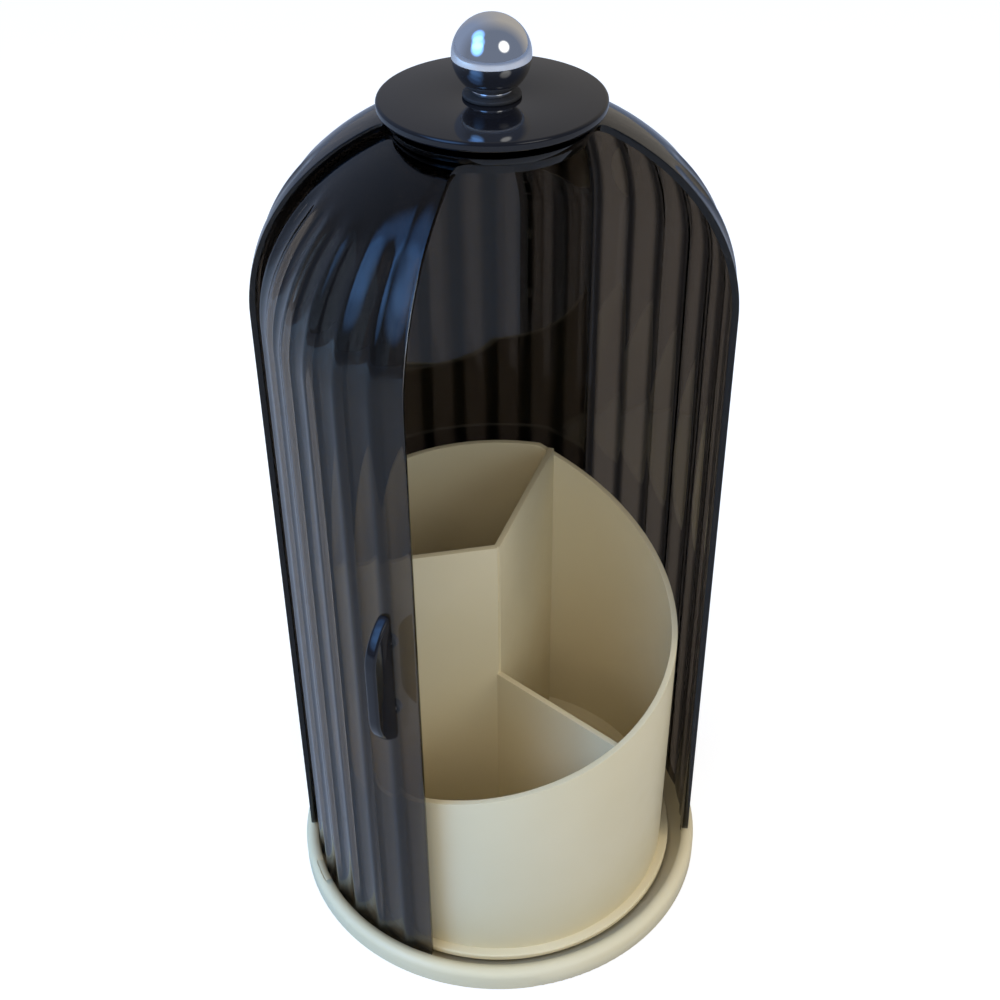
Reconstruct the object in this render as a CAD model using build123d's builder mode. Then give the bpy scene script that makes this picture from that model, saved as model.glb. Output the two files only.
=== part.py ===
from build123d import *
import os
from math import asin, cos, degrees, radians, sin, sqrt

# Rotating makeup organizer: a divided cup that spins on a ball-bearing base,
# under a smoked fluted dome whose inner half slides round behind the outer half.
# Millimetres, +Z up, origin at the centre of the underside, opening towards -Y.
# Angles round the axis are counted from the front (-Y), positive towards +X.

# Base ring and tray
base_radius = 66.0
ring_top = 8.0
ring_round = 2.2
ledge_width = 2.0
floor_thickness = 2.0
foot_radius = 6.0
foot_thickness = 1.2
foot_recess = 0.4
foot_spacing = 52.0
foot_count = 4
foot_first = 45.0

# Fits and gaps
running_fit = 0.06
seat_fit = 0.1
axial_play = 0.05

# Ball bearing under the turntable
ball_radius = 1.75
ball_count = 12
ball_circle = 30.0
bearing_height = 1.2
cage_thickness = 0.9
cage_width = 7.0

# Turntable on its spindle
turntable_thickness = 2.2
turntable_gap = 2.2
spindle_radius = 8.0
spindle_lift = 0.2
spigot_width = 2.0
spigot_height = 2.6
key_count = 3
key_first = 70.0
key_width = 8.0
key_height = 1.6
spindle_washer_radius = 12.0
spindle_washer_thickness = 1.0
spindle_screw_radius = 1.6
spindle_screw_length = 5.6
spindle_head_radius = 3.6
spindle_head_height = 2.0

# Cup with three dividers and a rim that climbs like a spiral
cup_inset = 2.9
cup_wall = 1.8
cup_flare = 1.0
cup_height = 124.5
cup_floor = 2.0
cup_head_room = 0.6
cup_corner = 3.0
divider_wall = 1.8
divider_angles = (30.0, 150.0, 270.0)
low_divider_wall_end = 82.0
low_divider_centre = 73.5
rim_stations = (
    (-90.0, 58.0), (-62.0, 63.5), (-32.5, 70.0), (-1.5, 76.6), (29.5, 83.0), (58.0, 89.6),
    (86.5, 97.4), (112.5, 106.7), (131.5, 114.4), (147.5, 121.2), (156.0, 125.2),
)

# Fluted shells
shell_wall = 1.8
shell_gap = 0.7
door_ring_gap = 0.45
door_floor_gap = 0.3
shoulder_height = 207.2
dome_rise = 56.6
crown_drop = 2.3
crown_thickness = 2.3
flute_pitch = 10.0
flute_depth = 0.9
flute_radius = 17.0
flute_turn_inset = 5.0
flute_turn_arc = 40.0
flute_run_out = 16.0
rear_flutes = 22
rear_crown_radius = 26.0
rear_corner = 4.0
door_flutes = 19
door_start = -29.2
door_trim = 2.1
door_crown_radius = 24.0
door_crown_thickness = 2.5
door_corner = 5.0
shell_foot_corner = 4.0
lug_count = 5
lug_width = 8.0
lug_length = 3.8

# Pivot stack at the crown
bush_radius = 5.0
bush_flange_radius = 9.0
bush_flange_thickness = 1.5
thrust_radius = 12.0
thrust_thickness = 2.0
pivot_screw_radius = 2.5
pivot_screw_bite = 7.5
pivot_head_radius = 4.4
pivot_head_height = 2.4
pivot_washer_radius = 7.0
pivot_washer_thickness = 0.8

# Cap and ball knob
cap_radius = 28.3
cap_thickness = 2.5
cap_round = 0.8
gasket_radius = 7.2
gasket_thickness = 1.0
collar_radius = 5.1
collar_height = 1.1
collar_land = 0.2
knob_radius = 9.7

# Door handle
handle_arris = 1
handle_height = 122.8
handle_length = 44.5
handle_reach = 8.8
handle_thickness = 3.4
handle_nose = 9.0
handle_round = 1.0
handle_screw_radius = 1.0
handle_screw_head_radius = 2.0
handle_screw_head_height = 1.3
handle_screw_bite = 5.5
handle_screw_spread = 24.0

# Heights that follow from the sizes above
tray_bottom = foot_thickness - foot_recess
floor_top = tray_bottom + floor_thickness
turntable_bottom = floor_top + bearing_height
turntable_top = turntable_bottom + turntable_thickness
ball_height = floor_top + bearing_height / 2
spindle_top = turntable_top + spindle_lift
washer_top = spindle_top + spindle_washer_thickness
cup_floor_bottom = washer_top + spindle_head_height + cup_head_room
cup_floor_top = cup_floor_bottom + cup_floor
door_foot = floor_top + door_floor_gap
crown_top = shoulder_height + dome_rise - crown_drop
crown_bottom = crown_top - crown_thickness
door_crown_top = crown_bottom - thrust_thickness - axial_play
door_crown_bottom = door_crown_top - door_crown_thickness
flange_top = door_crown_bottom - axial_play
flange_bottom = flange_top - bush_flange_thickness
pivot_washer_bottom = flange_bottom - pivot_washer_thickness
cap_top = crown_top + cap_thickness
gasket_top = cap_top + gasket_thickness
knob_seat = gasket_top + collar_height

# Radii that follow from the sizes above
rear_radius = base_radius - ledge_width
rear_inner = rear_radius - shell_wall
door_radius = rear_inner - shell_gap
door_inner = door_radius - shell_wall
door_rise = dome_rise - shell_wall - shell_gap
ring_inner = door_radius + door_ring_gap
turntable_radius = door_inner - turntable_gap
cup_foot_radius = turntable_radius - cup_inset
cup_inner = cup_foot_radius - cup_wall
cup_rim_radius = cup_foot_radius + cup_flare
spigot_radius = cup_inner - seat_fit
cage_fit = 2 * running_fit

# Angles that follow from the sizes above
rear_span = rear_flutes * flute_pitch
rear_start = (360 - rear_span) / 2
door_span = door_flutes * flute_pitch
handle_angle = door_start - handle_arris * flute_pitch


def turned(angle):
    """Turn an angle counted from the front into one counted from +X."""
    return angle - 90


def outward(angle):
    """Unit vector that points away from the axis at an angle from the front."""
    return Vector(cos(radians(turned(angle))), sin(radians(turned(angle))), 0)


def radial_plane(angle):
    """Upright plane through the axis: local X points outwards, local Y points up."""
    out = outward(angle)
    return Plane(origin=(0, 0, 0), x_dir=out, z_dir=(out.Y, -out.X, 0))


def wall_plane(angle, distance, height):
    """Plane that faces outwards at a distance from the axis."""
    origin = outward(angle) * distance + Vector(0, 0, height)
    return Plane(origin=origin, x_dir=(0, 0, 1), z_dir=outward(angle))


def sector(inner, outer, start, span):
    """Face between two circles, over a span of angles."""
    with BuildSketch(Plane.XY) as face:
        with BuildLine():
            near = CenterArc((0, 0), inner, turned(start), span)
            far = CenterArc((0, 0), outer, turned(start), span)
            Line(near @ 0, far @ 0)
            Line(near @ 1, far @ 1)
        make_face()
    return face.sketch


def washer(inner, outer, bottom, thickness, edge):
    """Flat ring with softened outer edges."""
    with BuildPart() as ring:
        with BuildSketch(Plane.XY.offset(bottom)):
            Circle(outer)
            Circle(inner, mode=Mode.SUBTRACT)
        extrude(amount=thickness)
        rims = ring.edges().filter_by(GeomType.CIRCLE).filter_by(lambda e: e.radius > inner + edge)
        fillet(rims, edge)
    return ring.part


def flute_cutter(radius, rise, foot):
    """Rod that scoops one flute up a wall and over the dome, then runs out of it."""
    rod_place = radius - flute_depth + flute_radius
    turn_centre = radius - flute_depth - (rise - flute_turn_inset)
    with BuildPart() as cutter:
        with BuildSketch(Plane.XY.offset(shoulder_height)) as rod:
            with Locations((rod_place, 0)):
                Circle(flute_radius)
        extrude(amount=foot - shoulder_height - 1)
        turn_axis = Axis((turn_centre, 0, shoulder_height), (0, -1, 0))
        revolve(rod.sketch.faces(), axis=turn_axis, revolution_arc=flute_turn_arc)
        rod_end = cutter.faces().filter_by(GeomType.PLANE).sort_by(Axis.Z)[-1]
        extrude(rod_end, amount=flute_run_out)
    return cutter.part


def shell_section(radius, rise, foot, top, bottom, bore):
    """Half section of a wall that goes straight up and bends over to a flat crown."""
    outer_end = degrees(asin((top - shoulder_height) / rise))
    inner_end = degrees(asin((bottom - shoulder_height) / (rise - shell_wall)))
    centre = (0, shoulder_height)
    with BuildSketch(Plane.XZ) as section:
        with BuildLine():
            outer = EllipticalCenterArc(centre, radius, rise, arc_size=outer_end)
            inner_radius = radius - shell_wall
            inner = EllipticalCenterArc(centre, inner_radius, rise - shell_wall, arc_size=inner_end)
            Polyline(outer @ 1, (bore, top), (bore, bottom), inner @ 1)
            Polyline(outer @ 0, (radius, foot), (inner_radius, foot), inner @ 0)
        make_face()
    return section.sketch


def fluted_shell(section, radius, rise, foot, start, flutes, crown, corner, trim=0):
    """Part of a dome: a full crown, one wide opening and flutes down the outside."""
    span = flutes * flute_pitch
    with BuildPart() as shell:
        add(section)
        revolve(axis=Axis.Z)
        with BuildSketch(Plane.XY) as opening:
            add(sector(crown, 2 * radius, start + span - trim, 360 - span + trim))
            fillet(opening.vertices().sort_by_distance((0, 0, 0))[:2], corner)
        extrude(amount=2 * shoulder_height, mode=Mode.SUBTRACT)
        cutter = flute_cutter(radius, rise, foot)
        first = turned(start + flute_pitch / 2)
        with PolarLocations(0, flutes, first, span):
            add(cutter, mode=Mode.SUBTRACT)
        low_edges = shell.edges().filter_by_position(Axis.Z, foot - 0.01, foot + 0.01)
        fillet(low_edges.filter_by(GeomType.LINE), shell_foot_corner)
    return shell.part


# Base tray: floor, ring wall, spindle, ball groove, foot recesses and shell notches
with BuildPart() as base_tray:
    with BuildSketch(Plane.XZ):
        with BuildLine():
            Polyline(
                (0, tray_bottom), (base_radius, tray_bottom), (base_radius, ring_top),
                (ring_inner, ring_top), (ring_inner, floor_top), (spindle_radius, floor_top),
                (spindle_radius, spindle_top), (0, spindle_top), close=True,
            )
        make_face()
    revolve(axis=Axis.Z)
    ring_edges = base_tray.edges().filter_by(GeomType.CIRCLE)
    outer_edges = ring_edges.filter_by(lambda e: e.radius > base_radius - 0.01).sort_by(Axis.Z)
    fillet(outer_edges[-1], ring_round)
    fillet(outer_edges[0], ring_round / 4)
    with BuildSketch(Plane.XZ):
        with Locations((ball_circle, ball_height)):
            Circle(ball_radius + running_fit)
    revolve(axis=Axis.Z, mode=Mode.SUBTRACT)
    with BuildSketch(Plane.XY.offset(tray_bottom)):
        with PolarLocations(foot_spacing, foot_count, turned(foot_first)):
            Circle(foot_radius + seat_fit)
    extrude(amount=foot_recess, mode=Mode.SUBTRACT)
    with BuildSketch(Plane.XY.offset(washer_top - spindle_screw_length - seat_fit)):
        Circle(spindle_screw_radius + seat_fit / 2)
    extrude(amount=spindle_screw_length, mode=Mode.SUBTRACT)
    notch_play = degrees(seat_fit / rear_radius)
    notch = sector(
        ring_inner - ledge_width, rear_radius + seat_fit, -lug_width / 2 - notch_play,
        lug_width + 2 * notch_play,
    )
    with BuildSketch(Plane.XY.offset(ring_top)):
        with PolarLocations(0, lug_count, rear_start + lug_width, rear_span - 2 * lug_width, endpoint=True):
            add(notch)
    extrude(amount=-lug_length - seat_fit, mode=Mode.SUBTRACT)
base_tray.part.label = "base_tray"

# Four rubber feet pressed into the recesses
with BuildPart() as base_feet:
    with BuildSketch(Plane.XY):
        with PolarLocations(foot_spacing, foot_count, turned(foot_first)):
            Circle(foot_radius)
    extrude(amount=foot_thickness)
    fillet(base_feet.faces().filter_by(Axis.Z).sort_by(Axis.Z)[:foot_count].edges(), foot_recess)
base_feet.part.label = "base_feet"

# Steel balls, spaced round the groove
with BuildPart() as bearing_balls:
    with Locations((0, 0, ball_height)):
        with PolarLocations(ball_circle, ball_count):
            Sphere(ball_radius)
bearing_balls.part.label = "bearing_balls"

# Cage that keeps the balls apart
with BuildPart() as bearing_cage:
    with BuildSketch(Plane.XY.offset(ball_height - cage_thickness / 2)):
        Circle(ball_circle + cage_width / 2)
        Circle(ball_circle - cage_width / 2, mode=Mode.SUBTRACT)
        with PolarLocations(ball_circle, ball_count):
            Circle(ball_radius + cage_fit, mode=Mode.SUBTRACT)
    extrude(amount=cage_thickness)
bearing_cage.part.label = "bearing_cage"

# Turntable: disc with a spigot ring and keys that locate the cup
with BuildPart() as turntable:
    with BuildSketch(Plane.XZ):
        with BuildLine():
            Polyline(
                (spindle_radius + running_fit, turntable_bottom), (turntable_radius, turntable_bottom),
                (turntable_radius, turntable_top), (spigot_radius, turntable_top),
                (spigot_radius, turntable_top + spigot_height),
                (spigot_radius - spigot_width, turntable_top + spigot_height),
                (spigot_radius - spigot_width, turntable_top),
                (spindle_radius + running_fit, turntable_top), close=True,
            )
        make_face()
    revolve(axis=Axis.Z)
    table_edges = turntable.edges().filter_by(GeomType.CIRCLE)
    fillet(table_edges.filter_by(lambda e: e.radius > turntable_radius - 0.01), turntable_thickness / 4)
    with BuildSketch(Plane.XZ):
        with Locations((ball_circle, ball_height)):
            Circle(ball_radius + running_fit)
    revolve(axis=Axis.Z, mode=Mode.SUBTRACT)
    with BuildSketch(Plane.XY.offset(turntable_top)):
        with PolarLocations(0, key_count, key_first):
            add(sector(spigot_radius - spigot_width / 2, cup_foot_radius, -key_width / 2, key_width))
    extrude(amount=key_height)
turntable.part.label = "turntable"

# Washer and screw that hold the turntable down on its spindle
spindle_washer = washer(
    spindle_screw_radius + seat_fit, spindle_washer_radius, spindle_top, spindle_washer_thickness, seat_fit,
)
spindle_washer.label = "spindle_washer"

with BuildPart() as spindle_screw:
    with BuildSketch(Plane.XY.offset(washer_top - spindle_screw_length)):
        Circle(spindle_screw_radius)
    extrude(amount=spindle_screw_length)
    with BuildSketch(Plane.XY.offset(washer_top)):
        Circle(spindle_head_radius)
    extrude(amount=spindle_head_height)
    fillet(spindle_screw.faces().sort_by(Axis.Z)[-1].edges(), spindle_head_height / 4)
    with BuildSketch(Plane.XY.offset(washer_top + spindle_head_height)):
        Rectangle(spindle_head_radius, spindle_head_radius / 5)
        Rectangle(spindle_head_radius / 5, spindle_head_radius)
    extrude(amount=-spindle_head_height / 2, mode=Mode.SUBTRACT)
spindle_screw.part.label = "spindle_screw"

# Cup: flared wall on a skirt, floor, spiral rim and three dividers
with BuildPart() as cup:
    with BuildSketch(Plane.XZ) as cup_section:
        with BuildLine():
            Polyline(
                (0, cup_floor_bottom), (cup_inner, cup_floor_bottom), (cup_inner, turntable_top),
                (cup_foot_radius, turntable_top), (cup_rim_radius, cup_height),
                (cup_rim_radius - cup_wall, cup_height), (cup_inner, cup_floor_top),
                (0, cup_floor_top), close=True,
            )
        make_face()
        floor_corner = cup_section.vertices().sort_by_distance((cup_inner, cup_floor_top, 0))[0]
        fillet(floor_corner, cup_corner)
    revolve(axis=Axis.Z)
    rim_lines = []
    for radius in (cup_inner - cup_wall, cup_rim_radius + cup_wall):
        points = [outward(angle) * radius + Vector(0, 0, height) for angle, height in rim_stations]
        rim_lines.append(Spline(*points, mode=Mode.PRIVATE))
    rim_face = Face.make_surface_from_curves(*rim_lines)
    extrude(rim_face, amount=cup_height, dir=(0, 0, 1), mode=Mode.SUBTRACT)
    divider_reach = cup_rim_radius - cup_wall / 2
    with BuildSketch(Plane.XY.offset(cup_floor_bottom)):
        for angle in divider_angles[1:]:
            with PolarLocations(divider_reach / 2, 1, turned(angle)):
                Rectangle(divider_reach, divider_wall)
    extrude(amount=cup_height - cup_floor_bottom)
    with BuildSketch(radial_plane(divider_angles[0])):
        with BuildLine():
            Polyline(
                (0, cup_floor_bottom), (divider_reach, cup_floor_bottom),
                (divider_reach, low_divider_wall_end), (0, low_divider_centre), close=True,
            )
        make_face()
    extrude(amount=divider_wall / 2, both=True)
    key_play = degrees(seat_fit / cup_foot_radius)
    with BuildSketch(Plane.XY.offset(turntable_top)):
        with PolarLocations(0, key_count, key_first):
            key_start = -key_width / 2 - key_play
            add(sector(cup_inner - cup_wall, base_radius, key_start, key_width + 2 * key_play))
    extrude(amount=key_height + seat_fit, mode=Mode.SUBTRACT)
cup.part.label = "cup"

# Rear shell: fixed outer half of the dome, with lugs that drop into the base ring
rear_section = shell_section(
    rear_radius, dome_rise, ring_top, crown_top, crown_bottom, bush_radius + seat_fit,
)
with BuildPart() as rear_shell:
    add(fluted_shell(
        rear_section, rear_radius, dome_rise, ring_top, rear_start, rear_flutes,
        rear_crown_radius, rear_corner,
    ))
    lug = sector(rear_inner, rear_radius, -lug_width / 2, lug_width)
    with BuildSketch(Plane.XY.offset(ring_top)):
        with PolarLocations(0, lug_count, rear_start + lug_width, rear_span - 2 * lug_width, endpoint=True):
            add(lug)
    extrude(amount=-lug_length)
rear_shell.part.label = "rear_shell"

# Door shell: inner half of the dome, hung from the crown and turning about the axis
door_section = shell_section(
    door_radius, door_rise, door_foot, door_crown_top, door_crown_bottom, bush_radius + running_fit,
)
screw_heights = (handle_height - handle_screw_spread / 2, handle_height + handle_screw_spread / 2)
with BuildPart() as door_shell:
    add(fluted_shell(
        door_section, door_radius, door_rise, door_foot, door_start - door_span, door_flutes,
        door_crown_radius, door_corner, door_trim,
    ))
    for height in screw_heights:
        with BuildSketch(wall_plane(handle_angle, door_inner - shell_wall, height)):
            Circle(handle_screw_radius + seat_fit)
        extrude(amount=3 * shell_wall, mode=Mode.SUBTRACT)
door_shell.part.label = "door_shell"

# Handle: upright fin that sits astride the arris beside the leading edge
handle_root = door_radius - flute_depth
with BuildPart() as door_handle:
    with BuildSketch(radial_plane(handle_angle)) as fin:
        with BuildLine():
            low = (handle_root, handle_height - handle_length / 2)
            high = (handle_root, handle_height + handle_length / 2)
            nose_low = (door_radius + handle_reach, handle_height - handle_nose)
            nose_high = (door_radius + handle_reach, handle_height + handle_nose)
            Line(low, high)
            Line(nose_low, nose_high)
            TangentArc(nose_high, high, tangent=(0, 1))
            TangentArc(nose_low, low, tangent=(0, -1))
        make_face()
    extrude(amount=handle_thickness / 2, both=True)
    side_edges = door_handle.faces().sort_by(SortBy.AREA)[-2:].edges()
    root_edges = door_handle.faces().sort_by_distance((0, 0, handle_height))[0].edges()
    fillet([edge for edge in side_edges if edge not in root_edges], handle_round)
    add(door_shell.part, mode=Mode.SUBTRACT)
    for height in screw_heights:
        with BuildSketch(wall_plane(handle_angle, door_radius - shell_wall, height)):
            Circle(handle_screw_radius + seat_fit / 2)
        extrude(amount=shell_wall + handle_screw_bite + seat_fit, mode=Mode.SUBTRACT)
door_handle.part.label = "door_handle"

# Two small screws from inside the door into the handle
head_seat = sqrt(door_inner**2 - handle_screw_head_radius**2) - 0.01
with BuildPart() as handle_screws:
    for height in screw_heights:
        with BuildSketch(wall_plane(handle_angle, head_seat, height)):
            Circle(handle_screw_radius)
        extrude(amount=door_radius + handle_screw_bite - head_seat)
        with BuildSketch(wall_plane(handle_angle, head_seat, height)):
            Circle(handle_screw_head_radius)
        extrude(amount=-handle_screw_head_height)
handle_screws.part.label = "handle_screws"

# Pivot bush: flanged sleeve that carries the door under the fixed crown
with BuildPart() as pivot_bush:
    with BuildSketch(Plane.XY.offset(flange_bottom)):
        Circle(bush_flange_radius)
    extrude(amount=bush_flange_thickness)
    with BuildSketch(Plane.XY.offset(flange_top)):
        Circle(bush_radius)
    extrude(amount=crown_top - flange_top)
    with BuildSketch(Plane.XY.offset(flange_bottom)):
        Circle(pivot_screw_radius + seat_fit)
    extrude(amount=crown_top - flange_bottom, mode=Mode.SUBTRACT)
pivot_bush.part.label = "pivot_bush"

# Slippery washer between the two crowns
thrust_washer = washer(
    bush_radius + seat_fit, thrust_radius, crown_bottom - thrust_thickness, thrust_thickness, seat_fit,
)
thrust_washer.label = "thrust_washer"

# Steel washer under the flange, and the screw that clamps the stack into the knob
pivot_washer = washer(
    pivot_screw_radius + seat_fit, pivot_washer_radius, pivot_washer_bottom,
    pivot_washer_thickness, seat_fit,
)
pivot_washer.label = "pivot_washer"

with BuildPart() as pivot_screw:
    with BuildSketch(Plane.XY.offset(pivot_washer_bottom)):
        Circle(pivot_screw_radius)
    extrude(amount=knob_seat + pivot_screw_bite - pivot_washer_bottom)
    with BuildSketch(Plane.XY.offset(pivot_washer_bottom)):
        Circle(pivot_head_radius)
    extrude(amount=-pivot_head_height)
    fillet(pivot_screw.faces().sort_by(Axis.Z)[0].edges(), pivot_head_height / 4)
    with BuildSketch(Plane.XY.offset(pivot_washer_bottom - pivot_head_height)):
        Rectangle(pivot_head_radius, pivot_head_radius / 5)
        Rectangle(pivot_head_radius / 5, pivot_head_radius)
    extrude(amount=pivot_head_height / 2, mode=Mode.SUBTRACT)
pivot_screw.part.label = "pivot_screw"

# Cap: glossy disc on the fixed crown
cap_disc = washer(pivot_screw_radius + seat_fit, cap_radius, crown_top, cap_thickness, cap_round)
cap_disc.label = "cap_disc"

# Soft gasket between the cap and the collar
knob_gasket = washer(pivot_screw_radius + seat_fit, gasket_radius, cap_top, gasket_thickness, seat_fit)
knob_gasket.label = "knob_gasket"

# Polished collar under the ball
knob_collar = washer(pivot_screw_radius + seat_fit, collar_radius, gasket_top, collar_height, seat_fit)
knob_collar.label = "knob_collar"

# Ball knob with a flat seat and a blind hole for the screw
seat_radius = collar_radius + collar_land
knob_centre = knob_seat + sqrt(knob_radius**2 - seat_radius**2)
with BuildPart() as ball_knob:
    with Locations((0, 0, knob_centre)):
        Sphere(knob_radius)
    split(bisect_by=Plane.XY.offset(knob_seat), keep=Keep.TOP)
    with BuildSketch(Plane.XY.offset(knob_seat)):
        Circle(pivot_screw_radius + seat_fit / 2)
    extrude(amount=pivot_screw_bite + seat_fit, mode=Mode.SUBTRACT)
ball_knob.part.label = "ball_knob"

pieces = [
    base_tray.part, base_feet.part, bearing_balls.part, bearing_cage.part, turntable.part,
    spindle_washer, spindle_screw.part, cup.part, rear_shell.part, door_shell.part,
    door_handle.part, handle_screws.part, pivot_bush.part, thrust_washer, pivot_washer,
    pivot_screw.part, cap_disc, knob_gasket, knob_collar, ball_knob.part,
]
os.makedirs("parts", exist_ok=True)
for piece in pieces:
    export_step(piece, f"parts/{piece.label}.step")
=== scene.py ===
import math
from collections import namedtuple

import bmesh
import bpy
from mathutils import Matrix, Vector


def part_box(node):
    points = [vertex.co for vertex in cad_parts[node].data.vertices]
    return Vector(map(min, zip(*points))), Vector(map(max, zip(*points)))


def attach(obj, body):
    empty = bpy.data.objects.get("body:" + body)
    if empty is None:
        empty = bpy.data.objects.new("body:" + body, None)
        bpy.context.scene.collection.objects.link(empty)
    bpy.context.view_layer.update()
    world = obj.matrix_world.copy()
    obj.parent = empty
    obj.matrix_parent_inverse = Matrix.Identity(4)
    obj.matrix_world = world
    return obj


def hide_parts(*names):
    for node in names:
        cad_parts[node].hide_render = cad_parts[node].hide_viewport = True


# Rotating makeup organizer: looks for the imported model. Metres, +Z up, opening towards -Y.
# Angles round the axis are in degrees from the front (-Y), positive towards +X.

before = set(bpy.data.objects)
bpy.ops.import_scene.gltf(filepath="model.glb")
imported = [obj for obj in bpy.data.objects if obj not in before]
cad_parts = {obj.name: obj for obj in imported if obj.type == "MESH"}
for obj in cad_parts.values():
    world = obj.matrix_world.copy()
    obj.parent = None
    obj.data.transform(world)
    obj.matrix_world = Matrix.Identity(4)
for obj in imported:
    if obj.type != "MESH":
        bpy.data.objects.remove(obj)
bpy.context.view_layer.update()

MM = 0.001

# How near two places, or two heights, are to count as the same
NEAR = 1e-6
TOUCH = 1e-7

# How near two points are to be merged, in a fine mesh and in a coarse one
MERGE = 0.003 * MM
MERGE_COARSE = 0.01 * MM

# Upright part of the normal of a face that looks down
LOOKS_DOWN = -0.9

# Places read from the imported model
tray_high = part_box("base_tray")[1]
table_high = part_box("turntable")[1]
cup_low, cup_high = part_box("cup")
rear_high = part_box("rear_shell")[1]
door_low, door_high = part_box("door_shell")
cap_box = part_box("cap_disc")
gasket_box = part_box("knob_gasket")
collar_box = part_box("knob_collar")
knob_low, knob_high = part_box("ball_knob")

# Base ring, and the fill that closes its spare notch: half its width in degrees, how far it lies under
# the ring's top, bites into the ring outside the notch and reaches below the notch's floor
BASE_RADIUS = tray_high[0]
RING_TOP = tray_high[2]
RING_ROUND = 2.2 * MM
RING_GAP = 0.45 * MM
NOTCH_GAP = 0.1 * MM
SPARE_NOTCH = 282.0
FILL_HALF = 4.7
FILL_STEPS = 720
FILL_DROP = 0.01 * MM
FILL_BITE = 0.4 * MM
FILL_UNDER = 0.5 * MM

# Smoked shells: wall, dome and crown
SHELL_WALL = 1.8 * MM
SHELL_GAP = 0.7 * MM
SHELL_BORE = 5.1 * MM
SHOULDER = 207.2 * MM
FOOT_CORNER = 4.0 * MM
RIM_ROUND = 0.32 * MM
REAR_RADIUS = rear_high[0]
REAR_RISE = 56.6 * MM
REAR_CROWN = 2.3 * MM
REAR_CROWN_RADIUS = 26.0 * MM
REAR_CORNER = 4.0 * MM
# The rear shell's tints are painted shade: the door's smoked plastic and wall, made darker
REAR_SHADED_TINTS = ((0.05, 0.04, 0.031), (0.008, 0.007, 0.0065))
DOOR_RADIUS = REAR_RADIUS - SHELL_WALL - SHELL_GAP
DOOR_RISE = REAR_RISE - SHELL_WALL - SHELL_GAP
DOOR_CROWN = 2.5 * MM
DOOR_CROWN_RADIUS = 24.0 * MM
DOOR_CORNER = 5.0 * MM
DOOR_TINTS = ((0.17, 0.15, 0.13), (0.05, 0.045, 0.042))

# Smoked shells: flutes, the swelling behind them, and where each shell starts and ends. A point up to
# the slack before a start belongs to the first flute, a flute has died out where the wall leans more
# than its lean in radians, and where it is deepest the thin share is taken off the tint. On a shell with
# pillars that share follows the pillars instead. Where the flutes cut the outside this is partly real
# thinning. The rest is painted light: lighter stripes where the pillars thicken the wall.
FLUTE_PITCH = 10.0
FLUTE_DEPTH = 0.9 * MM
FLUTE_ROD = 17.0 * MM
FLUTE_TURN_INSET = 5.0 * MM
FLUTE_TURN_ARC = 40.0
FLUTE_LEAN = 1.0
REAR_FLUTES = 19
REAR_START = 70.0
REAR_BAND = 5.0
REAR_END = REAR_START + REAR_FLUTES * FLUTE_PITCH + REAR_BAND
PILLAR_DEPTH = 0.5 * MM
PILLAR_LEAN = (55.0, 80.0)
DOOR_FLUTES = 19
DOOR_START = -219.2
DOOR_EDGE = -31.3
LEAD_HOLLOW = 0.35 * MM
LEAD_LEAN = (52.0, 66.0)
EDGE_SLACK = 0.5
THIN_AND_PAINTED_LIGHT_SHARE = 0.5

# Smoked shells: columns and rows of the skin that each is drawn from, and how many columns beside an
# edge are drawn along with it
FLUTE_STEPS = 16
STEP_ANGLE = FLUTE_PITCH / FLUTE_STEPS
COLUMNS = round(360 / STEP_ANGLE)
FOOT_STEPS = (0, 0.12 * MM, 0.5 * MM, 1.2 * MM, 2.2 * MM, FOOT_CORNER)
WALL_SHARES = (0.2, 0.4, 0.6, 0.8, 1.0)
DOME_STEP = 2.4
DOME_STEPS = 36
CORNER_CLEAR = 1.25
CORNER_SHARES = (1.0, 0.62, 0.34, 0.13, 0.0)
CROWN_RING = 12.0 * MM
LEAST_RING_STEP = 0.2 * MM
SHIFT_REACH = 11
LEAST_SHIFT = 1e-5

# Lugs under the fixed shell
LUG_LENGTH = 3.8 * MM
LUG_HALF = 3.8
LUG_ANGLES = (78.0, 129.0, 180.0, 231.0)
LUG_SLACK = 0.02 * MM

# Cup
CUP_WALL = 1.8 * MM
CUP_FLARE = 1.0 * MM
CUP_FOOT_RADIUS = table_high[0] - 2.9 * MM
CUP_FOOT = cup_low[2]
CUP_TOP = cup_high[2]
CUP_FLOOR_BOTTOM = 10.0 * MM
CUP_FLOOR_TOP = 12.0 * MM
CUP_STEPS = 240
CUP_ROUND = 0.55 * MM
CUP_MERGE = 0.03 * MM
CUP_LEAST_EDGE = 0.01 * MM

# Fillet between the cup's wall and floor: mm in from the wall's middle, and mm above the floor
FLOOR_FILLET = ((0.0, 3.0), (1.5, 1.6), (2.4, 0.6), (3.9, 0.0))

# Cup's dividers: the lowest one slopes, its top given at the axis and at the wall
DIVIDER_WALL = 1.8 * MM
DIVIDER_BITE = 0.5 * MM
DIVIDER_END = 0.45
DIVIDERS = ((30.0, (73.5 * MM, 82.0 * MM)), (150.0, (CUP_TOP, CUP_TOP)), (270.0, (CUP_TOP, CUP_TOP)))

# Cup's rim: angle and height in mm of the points that it climbs through
RIM_STATIONS = (
    (-90.0, 58.0), (-62.0, 63.5), (-32.5, 70.0), (-1.5, 76.6), (29.5, 83.0), (58.0, 89.6),
    (86.5, 97.4), (112.5, 106.7), (131.5, 114.4), (147.5, 121.2), (156.0, 125.2),
)
RIM_START = RIM_STATIONS[0][0]
RIM_MEETING = 0.4 * MM

# Cap and ball
PIN_HOLE = 2.6 * MM
CAP_ROUND = 0.8 * MM
GASKET_ROUND = 0.35 * MM
COLLAR_ROUND = 0.3 * MM
BALL_ROUND = 0.12 * MM
SOCKET_DEPTH = 7.6 * MM

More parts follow.
